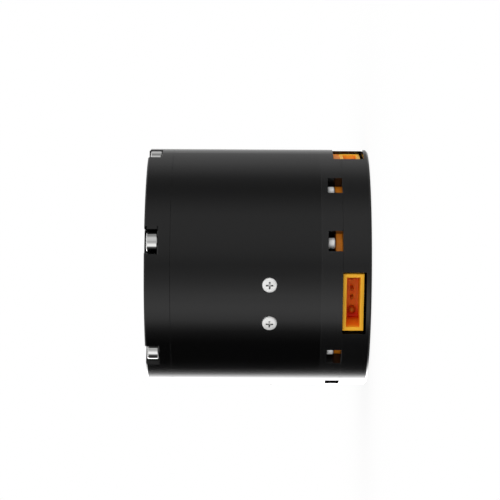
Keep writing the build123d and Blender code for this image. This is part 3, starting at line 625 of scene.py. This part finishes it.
def cut_key_socket(screw, key, top, depth):
    """Hexagon socket with a conical mouth that is as wide as the hexagon's corners."""
    corner = key / 2 / cos(radians(30))
    carve(screw, prism(6, corner, top - depth, top + 1))
    mouth = turned([(corner * 0.6, top - corner * 0.4), (corner * 1.6, top + corner * 0.6)], 48)
    carve(screw, mouth)


def cap_screw(head, height, shank, length, key):
    """Socket cap screw with a plain turned head."""
    radius = head / 2
    outline = [*shank_points(shank, length), (radius * 0.92, 0), (radius, height * 0.07),
               *rounded_rim(radius, height, height * 0.1)]
    screw = turned(outline)
    cut_key_socket(screw, key, height, height * 0.5)
    return screw


def pan_screw(head, height, shank, length):
    """Domed screw with a cross recess."""
    radius = head / 2
    side = height * 0.3
    fullness = 0.6
    recess = (head * 0.60, head * 0.13, height * 1.6)
    taper = (0.7, 0.8, 1)
    outline = [*shank_points(shank, length), (radius * 0.96, 0), (radius, height * 0.06)]
    for step in range(15):
        turn = radians(6 * step)
        outline.append((radius * cos(turn) ** fullness,
                        side + (height - side) * sin(turn) ** fullness))
    screw = turned(outline)
    for turn in (0, 90):
        bpy.ops.object.select_all(action="DESELECT")
        bpy.ops.mesh.primitive_cube_add(size=1, location=(0, 0, height))
        blade = bpy.context.object
        blade.scale = recess
        bpy.ops.object.transform_apply()
        open_for(blade, "polygons", lambda face: face.normal.z < -0.9)
        bpy.ops.transform.resize(value=taper, center_override=(0, 0, 0))
        close_up()
        blade.rotation_euler.z = radians(turn)
        pick(blade)
        bpy.ops.object.transform_apply()
        carve(screw, blade)
    return screw


def flat_screw(head, shank, length, key):
    """Countersunk screw with its top level with the seat."""
    radius = head / 2
    rim = 0.15
    edge_middle = 0.03
    edge_end = 0.08
    outline = [*shank_points(shank, length)[:2], (shank / 2, shank / 2 - radius - rim),
               (radius, -rim), (radius - edge_middle, -edge_middle), (radius - edge_end, 0)]
    screw = turned(outline, 72)
    cut_key_socket(screw, key, 0, shank * 0.4)
    return screw


class ACTUATOR_OT_cap_screws(bpy.types.Operator):
    """Socket cap screws in the front ring's notches"""
    bl_idname = "actuator.cap_screws"
    bl_label = "Front cap screws"

    def execute(self, context):
        sizes = context.scene.actuator_screws
        head = sizes.cap_head / MM
        height = sizes.cap_height / MM
        seat = top_of("front_cap_screws") - height
        length = seat - bottom_of("front_cap_screws")
        screw = cap_screw(head, height, sizes.cap_shank / MM, length, sizes.cap_key / MM)
        stance = Matrix.Translation((reach_of("front_cap_screws") - head / 2, 0, seat))
        screws = copied_around(screw, CAP_SCREW_ANGLES, stance)
        settle(screws, "cap_screws", "bright_steel", "housing", "front_cap_screws", smooth=28)
        return {"FINISHED"}


class ACTUATOR_OT_side_screws(bpy.types.Operator):
    """Domed cross-recess screws in the side of the main shell"""
    bl_idname = "actuator.side_screws"
    bl_label = "Side screws"

    def execute(self, context):
        sizes = context.scene.actuator_screws
        seat = BODY_RADIUS - sizes.pan_sunk / MM
        stator = reach_of("stator_core")
        bite = 1.3
        screw = pan_screw(sizes.pan_head / MM, sizes.pan_height / MM, sizes.pan_shank / MM,
                          seat - stator + bite)
        level = (top_of("stator_core") + bottom_of("stator_core")) / 2
        stance = Matrix.Translation((seat, 0, level)) @ Matrix.Rotation(radians(90), 4, "Y")
        screws = copied_around(screw, SIDE_SCREW_ANGLES, stance, 0.0)
        settle(screws, "side_screws", "bright_steel", "housing", "stator_screws",
               material="satin_steel")
        return {"FINISHED"}


class ACTUATOR_OT_window_screws(bpy.types.Operator):
    """Small cap screws seen in the end plate's windows"""
    bl_idname = "actuator.window_screws"
    bl_label = "Window screws"

    def execute(self, context):
        sizes = context.scene.actuator_screws
        radius = sizes.small_head / MM / 2
        height = sizes.small_height / MM
        seat = bottom_of("end_plate_screws") + height
        shank = 1.6
        outline = [*shank_points(shank, top_of("end_plate_screws") - seat), (radius * 0.9, 0),
                   (radius * 0.97, height * 0.04), (radius, height * 0.1),
                   *rounded_rim(radius, height, radius * 0.3)]
        screw = turned(outline, 72)
        cut_key_socket(screw, sizes.small_key / MM, height, height * 0.5)
        upside_down = Matrix.Rotation(radians(180), 4, "X")
        stance = Matrix.Translation((reach_of("end_plate_screws") - radius, 0, seat)) @ upside_down
        screws = copied_around(screw, WINDOW_SCREW_ANGLES, stance)
        settle(screws, "window_screws", "bright_steel", "housing", "end_plate_screws",
               material="satin_steel")
        return {"FINISHED"}


class ACTUATOR_OT_rear_screws(bpy.types.Operator):
    """Countersunk screws in the rear cover"""
    bl_idname = "actuator.rear_screws"
    bl_label = "Rear screws"

    def execute(self, context):
        sizes = context.scene.actuator_screws
        head = sizes.flat_head / MM
        shank = 2.0
        slant = cos(radians(REAR_SCREW_ANGLES[0]))
        circle = (reach_of("rear_cover_screws") - head / 2) / slant
        screw = flat_screw(head, shank, top_of("rear_cover_screws"), sizes.flat_key / MM)
        upside_down = Matrix.Rotation(radians(180), 4, "X")
        stance = Matrix.Translation((circle, 0, bottom_of("rear_cover_screws"))) @ upside_down
        screws = copied_around(screw, REAR_SCREW_ANGLES, stance)
        settle(screws, "rear_screws", "bright_steel", "housing", "rear_cover_screws")
        return {"FINISHED"}


# Plug sockets

def socket_shell(sizes, depth, width, height):
    """Moulded plug socket with its mouth on +X at the origin's level, and holes for its contacts."""
    bpy.ops.object.select_all(action="DESELECT")
    bpy.ops.mesh.primitive_cube_add(size=1, location=(-depth / 2, 0, 0))
    shell = bpy.context.object
    shell.scale = (depth, width, height)
    bpy.ops.object.transform_apply()
    open_for(shell, "polygons", lambda face: face.normal.x > 0.9)
    bpy.ops.mesh.inset(thickness=sizes.wall / MM, depth=0)
    bpy.ops.mesh.extrude_region_move(TRANSFORM_OT_translate={"value": (-sizes.recess / MM, 0, 0)})
    close_up()
    eased(shell, sizes.rounding / MM)
    contacts = ((sizes.power_pin, sizes.power_spacing), (sizes.signal_pin, sizes.signal_spacing))
    gap = 0.02
    beyond = 1
    for pin, spacing in contacts:
        for side in (-1, 1):
            hole = prism(32, pin / MM / 2 + gap, -depth - beyond, 0)
            hole.rotation_euler.y = radians(90)
            hole.location = (-(depth + beyond) / 2, side * spacing / MM / 2, 0)
            pick(hole)
            bpy.ops.object.transform_apply()
            carve(shell, hole)
    return shell


class ACTUATOR_OT_sockets(bpy.types.Operator):
    """Two moulded plug sockets in the rear cover's pockets"""
    bl_idname = "actuator.sockets"
    bl_label = "Plug sockets"

    def execute(self, context):
        sizes = context.scene.actuator_sockets
        low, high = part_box("socket_housing_lower")
        extent = (high - low) / MM
        mouth = -low.y / MM
        level = (low.z + high.z) / 2 / MM
        for which, angle in SOCKET_ANGLES.items():
            shell = socket_shell(sizes, extent.y, extent.x, extent.z)
            stance = Matrix.Translation((mouth, 0, level))
            piece = copied_around(shell, [angle], stance)
            settle(piece, f"plug_socket_{which}", "socket_plastic", "housing",
                   f"socket_housing_{which}")
        return {"FINISHED"}


# Output disc and the threads of the mounting holes

def hole_cutter(width, depth, top, countersink):
    """Cutter for a blind hole with a drill point and a countersunk mouth."""
    radius = width / 2
    point = radius * 0.3
    beyond = 0.2
    mouth = radius + countersink + beyond
    outline = [(radius * 0.05, top - depth - point), (radius, top - depth),
               (radius, top - countersink), (mouth, top + beyond), (mouth, top + 1)]
    return turned(outline, 48)


class ACTUATOR_OT_output(bpy.types.Operator):
    """Output disc with its mounting holes, dowel holes and centring recess"""
    bl_idname = "actuator.output"
    bl_label = "Output disc"

    def execute(self, context):
        sizes = context.scene.actuator_output
        low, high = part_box("output_flange")
        radius = high.x / MM
        bottom = low.z / MM
        top = high.z / MM
        race = 1.505
        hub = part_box("output_bearing_inner")[1].x / MM - race
        race_top = top_of("output_bearing_inner")
        shoulder = hub + 1.3
        running_gap = 0.2
        disc_bottom = race_top + running_gap
        chamfer = 0.35
        pilot = sizes.pilot / MM / 2
        pilot_mouth = 0.25
        pilot_corner = 0.2
        floor = top - sizes.pilot_depth / MM
        outline = [(hub, bottom), (hub, race_top), (shoulder, race_top), (shoulder, disc_bottom),
                   (radius, disc_bottom), (radius, top - chamfer), (radius - chamfer, top),
                   (pilot + pilot_mouth, top), (pilot, top - pilot_mouth),
                   (pilot, floor + pilot_corner), (pilot - pilot_corner, floor)]
        disc = turned(outline, 256)
        tapped = hole_cutter(sizes.tapped_hole / MM, sizes.hole_depth / MM, top, countersink=0.3)
        circle = Matrix.Translation((sizes.hole_circle / MM / 2, 0, 0))
        carve(disc, copied_around(tapped, FACE_HOLE_ANGLES, circle))
        dowel = hole_cutter(sizes.dowel_hole / MM, sizes.dowel_depth / MM, top, countersink=0.15)
        carve(disc, copied_around(dowel, DOWEL_HOLE_ANGLES, circle))
        settle(disc, "output_disc", "anodised_output", "output", "output_flange", smooth=30)
        return {"FINISHED"}


def thread_ridge(sizes):
    """Ridge of an internal thread: a small triangle wound upwards along the axis."""
    pitch = sizes.pitch / MM
    hole = sizes.tapped_hole / MM / 2
    turns = int(sizes.hole_depth / sizes.pitch) - 2
    bpy.ops.object.select_all(action="DESELECT")
    bpy.ops.mesh.primitive_circle_add(vertices=3, radius=pitch * 0.42, fill_type="NOTHING",
                                      location=(hole, 0, -sizes.hole_depth / MM + pitch),
                                      rotation=(radians(90), radians(90), 0))
    ridge = bpy.context.object
    ridge.scale = (0.6, 1, 1)
    bpy.ops.object.transform_apply()
    winding = ridge.modifiers.new("winding", "SCREW")
    winding.axis = "Z"
    winding.screw_offset = pitch
    winding.iterations = turns
    winding.steps = 24
    winding.render_steps = 24
    bpy.ops.object.modifier_apply(modifier=winding.name)
    bpy.ops.object.mode_set(mode="EDIT")
    bpy.ops.mesh.select_all(action="SELECT")
    bpy.ops.mesh.fill_holes(sides=3)
    close_up()
    return ridge


class ACTUATOR_OT_threads(bpy.types.Operator):
    """Threads in the mounting holes of the output disc and the front ring"""
    bl_idname = "actuator.threads"
    bl_label = "Mounting threads"

    def execute(self, context):
        sizes = context.scene.actuator_output
        places = [("output_threads", "anodised_output", "output", sizes.hole_circle,
                   top_of("output_flange")),
                  ("front_threads", "anodised_front", "housing", sizes.frame_circle, BODY_LENGTH)]
        for name, slot, body, circle, top in places:
            stance = Matrix.Translation((circle / MM / 2, 0, top))
            threads = copied_around(thread_ridge(sizes), FACE_HOLE_ANGLES, stance)
            settle(threads, name, slot, body, smooth=60)
        return {"FINISHED"}


# Studio

STUDIO_WALLS = [
    # Compass direction of the wall, and how bright it is in a reflection
    (-180, 0.02), (-172, 0.02), (-150, 0.03), (-139, 0.12), (-132, 0.35), (-125, 0.75),
    (-113, 0.97), (-100, 0.80), (-86, 0.50), (-72, 0.34), (-58, 0.48), (-42, 0.54), (-22, 0.54),
    (-12, 0.42), (0, 0.26), (9, 0.20), (22, 0.25), (35, 0.44), (48, 0.52), (58, 0.46), (72, 0.36),
    (100, 0.7), (112, 6.5), (142, 6.5), (146, 5.0), (151, 3.1), (156, 1.1), (161, 0.32),
    (168, 0.04),
]
BRIGHTEST_WALL = 8.0

# Steeper directions than the walls' ends, by their Z, show the ceiling or the ground in a reflection
WALL_ENDS = (0.3, 0.65)
CEILING = 0.62
GROUND = 0.3
GROUND_TO_CEILING = (-0.3, 0.3)

# Weakest and strongest soft light, the compass direction it comes from, and how it falls off
DAYLIGHT = (0.45, 1.4)
DAYLIGHT_SIDE = -25
DAYLIGHT_SPAN = (-0.3, 0.5)

FLOOR_RADIUS = 0.4
FLOOR_LEVEL = -0.0002
FLOOR_GREY = 0.95
FLOOR_GLOW = 1.03
FLOOR_GLOW_SHARE = 0.86

# Width of the picture in pixels and of the camera's sensor in millimetres
PICTURE = 500
SENSOR = 36.0


def make_camera(scene):
    """Camera that looks square at the side, with the output end on the left."""
    studio = scene.actuator_studio
    turn = studio.view_angle - pi / 2
    side = Vector((cos(turn), sin(turn), 0))
    data = bpy.data.cameras.new("camera")
    data.lens = studio.lens
    data.sensor_width = SENSOR
    data.shift_x = -studio.shift_right / PICTURE
    data.shift_y = studio.shift_down / PICTURE
    data.clip_start = 0.01
    camera = bpy.data.objects.new("camera", data)
    bpy.context.collection.objects.link(camera)
    right = Vector((0, 0, -1))
    up = side.cross(right)
    turned_to_side = Matrix((right, up, side)).transposed().to_4x4()
    middle = Vector((0, 0, BODY_LENGTH * MM / 2))
    camera.matrix_world = (Matrix.Translation(middle + side * studio.distance) @ turned_to_side
                           @ Matrix.Rotation(studio.roll, 4, "Z"))
    scene.camera = camera


def wall_brightness(tree, axes):
    """Brightness of the studio's walls, by compass direction."""
    compass = maths(tree, "ARCTAN2", axes["Y"], axes["X"])
    curve = tree.nodes.new("ShaderNodeFloatCurve")
    tree.links.new(map_range(tree, compass, -pi, pi), curve.inputs["Value"])
    points = curve.mapping.curves[0].points
    walls = STUDIO_WALLS + [(180, STUDIO_WALLS[0][1])]
    while len(points) < len(walls):
        points.new(0.5, 0.5)
    for point, (angle, level) in zip(points, walls):
        point.location = ((angle + 180) / 360, level / BRIGHTEST_WALL)
        point.handle_type = "VECTOR"
    curve.mapping.use_clip = False
    curve.mapping.update()
    return maths(tree, "MULTIPLY", curve.outputs[0], BRIGHTEST_WALL)


def daylight(tree, axes):
    """Soft light on the object, stronger from one side and weaker from the other."""
    side = radians(DAYLIGHT_SIDE)
    across = maths(tree, "MULTIPLY", axes["Y"], sin(side))
    along = maths(tree, "MULTIPLY_ADD", axes["X"], cos(side), across)
    return map_range(tree, along, *DAYLIGHT_SPAN, *DAYLIGHT, smooth=True)


def make_world(scene):
    """White surroundings, with the studio's walls in reflections only."""
    world = bpy.data.worlds.new("studio")
    scene.world = world
    world.use_nodes = True
    tree = world.node_tree
    tree.nodes.clear()
    output = tree.nodes.new("ShaderNodeOutputWorld")
    background = tree.nodes.new("ShaderNodeBackground")
    split = tree.nodes.new("ShaderNodeSeparateXYZ")
    tree.links.new(tree.nodes.new("ShaderNodeTexCoord").outputs["Generated"], split.inputs[0])
    walls = wall_brightness(tree, split.outputs)
    tilt = maths(tree, "ABSOLUTE", split.outputs["Z"])
    off_wall = map_range(tree, tilt, *WALL_ENDS, smooth=True)
    ends = map_range(tree, split.outputs["Z"], *GROUND_TO_CEILING, GROUND, CEILING)
    path = tree.nodes.new("ShaderNodeLightPath")
    reflected = mix(tree, off_wall, walls, ends)
    unseen = mix(tree, path.outputs["Is Glossy Ray"], daylight(tree, split.outputs), reflected)
    strength = mix(tree, path.outputs["Is Camera Ray"], unseen, 1.0)
    tree.links.new(strength, background.inputs["Strength"])
    background.inputs["Color"].default_value = (1, 1, 1, 1)
    tree.links.new(background.outputs[0], output.inputs["Surface"])


def make_floor():
    """Pale floor that looks white, keeps a faint shadow and stays out of reflections."""
    bpy.ops.object.select_all(action="DESELECT")
    bpy.ops.mesh.primitive_circle_add(vertices=96, radius=FLOOR_RADIUS, fill_type="NGON",
                                      location=(0, 0, FLOOR_LEVEL))
    floor = bpy.context.object
    floor.name = "floor"
    material = bpy.data.materials.new("floor")
    material.use_nodes = True
    tree = material.node_tree
    tree.nodes.clear()
    output = tree.nodes.new("ShaderNodeOutputMaterial")
    diffuse = tree.nodes.new("ShaderNodeBsdfDiffuse")
    diffuse.inputs["Color"].default_value = (FLOOR_GREY, FLOOR_GREY, FLOOR_GREY, 1)
    white = tree.nodes.new("ShaderNodeEmission")
    white.inputs["Strength"].default_value = FLOOR_GLOW
    clear = tree.nodes.new("ShaderNodeBsdfTransparent")
    path = tree.nodes.new("ShaderNodeLightPath")
    pale = tree.nodes.new("ShaderNodeMixShader")
    glow_share = maths(tree, "MULTIPLY", path.outputs["Is Camera Ray"], FLOOR_GLOW_SHARE)
    tree.links.new(glow_share, pale.inputs[0])
    tree.links.new(diffuse.outputs[0], pale.inputs[1])
    tree.links.new(white.outputs[0], pale.inputs[2])
    through = tree.nodes.new("ShaderNodeMixShader")
    tree.links.new(path.outputs["Is Glossy Ray"], through.inputs[0])
    tree.links.new(pale.outputs[0], through.inputs[1])
    tree.links.new(clear.outputs[0], through.inputs[2])
    tree.links.new(through.outputs[0], output.inputs["Surface"])
    floor.data.materials.append(material)


class ACTUATOR_OT_stage(bpy.types.Operator):
    """Set up the camera, the world and the floor"""
    bl_idname = "actuator.stage"
    bl_label = "Stage"

    def execute(self, context):
        context.scene.view_settings.view_transform = "Standard"
        make_camera(context.scene)
        make_world(context.scene)
        make_floor()
        return {"FINISHED"}


# Add-on

STEPS = [ACTUATOR_OT_finishes, ACTUATOR_OT_stage, ACTUATOR_OT_cap_screws, ACTUATOR_OT_side_screws,
         ACTUATOR_OT_window_screws, ACTUATOR_OT_rear_screws, ACTUATOR_OT_sockets,
         ACTUATOR_OT_output, ACTUATOR_OT_threads]

SETTINGS = {
    "actuator_screws": ActuatorScrews,
    "actuator_sockets": ActuatorSockets,
    "actuator_output": ActuatorOutput,
    "actuator_colours": ActuatorColours,
    "actuator_studio": ActuatorStudio,
}


class ACTUATOR_PT_panel(bpy.types.Panel):
    """Steps and settings of the joint actuator"""
    bl_idname = "ACTUATOR_PT_panel"
    bl_label = "Joint actuator"
    bl_space_type = "VIEW_3D"
    bl_region_type = "UI"
    bl_category = "Actuator"

    def draw(self, context):
        for step in STEPS:
            self.layout.operator(step.bl_idname)
        for name, group in SETTINGS.items():
            box = self.layout.box()
            for setting in group.__annotations__:
                box.prop(getattr(context.scene, name), setting)


CLASSES = [*SETTINGS.values(), *STEPS, ACTUATOR_PT_panel]


def register():
    for item in CLASSES:
        bpy.utils.register_class(item)
    for name, group in SETTINGS.items():
        setattr(bpy.types.Scene, name, bpy.props.PointerProperty(type=group))


def unregister():
    for name in SETTINGS:
        delattr(bpy.types.Scene, name)
    for item in reversed(CLASSES):
        bpy.utils.unregister_class(item)


def main():
    """Build everything in order."""
    register()
    bpy.ops.actuator.finishes()
    bpy.ops.actuator.stage()
    bpy.ops.actuator.cap_screws()
    bpy.ops.actuator.side_screws()
    bpy.ops.actuator.window_screws()
    bpy.ops.actuator.rear_screws()
    bpy.ops.actuator.sockets()
    bpy.ops.actuator.output()
    bpy.ops.actuator.threads()


if __name__ == "__main__":
    main()
